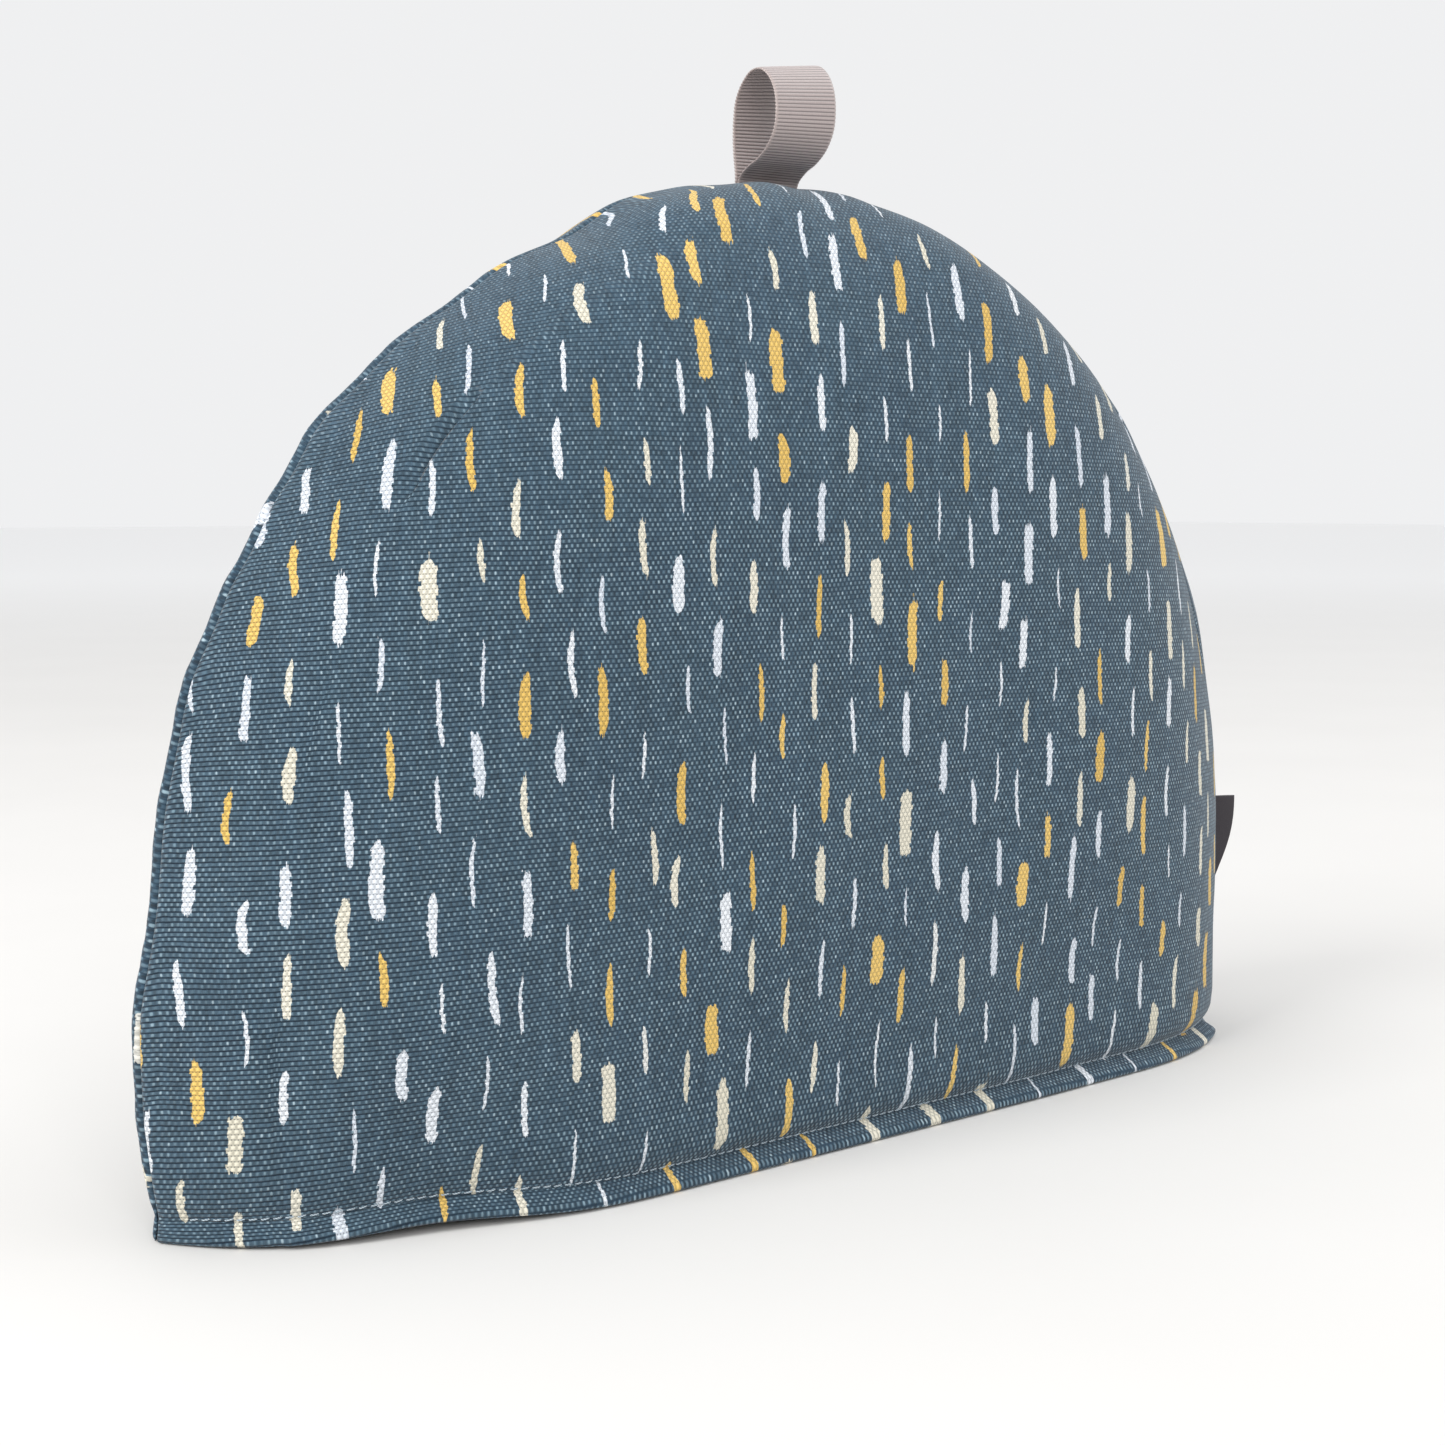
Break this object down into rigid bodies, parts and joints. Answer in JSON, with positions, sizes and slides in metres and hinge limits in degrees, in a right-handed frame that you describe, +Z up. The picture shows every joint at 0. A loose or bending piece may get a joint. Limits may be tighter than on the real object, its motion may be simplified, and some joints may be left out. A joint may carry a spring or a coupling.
{
  "type": "tea cosy",
  "caption": "Padded dome tea cosy of printed woven cloth, open at the hem, with a ribbon loop on top and a plain folded tab in the side seam.",
  "frame": {"origin": "middle of the whole in X and Y, on the surface that the hem rests on", "axes": "+Z up, X along the seam between the two panels, -Y out of the front panel, +X towards the side with the tab"},
  "size_m": [0.3742, 0.095, 0.2784],
  "materials": {
    "front_cloth": "matt padded half-panama cotton, slate blue with small brushed dashes in white, cream and mustard",
    "back_cloth": "the same cloth as the front",
    "ribbon": "ribbed grosgrain ribbon, mauve grey, a slight sheen",
    "tab": "plain dark charcoal woven tape, matt"
  },
  "bodies": {
    "root": {"front_panel": "front_cloth", "back_panel": "back_cloth", "ribbon_loop": "ribbon", "side_label": "tab"}
  },
  "joints": []
}
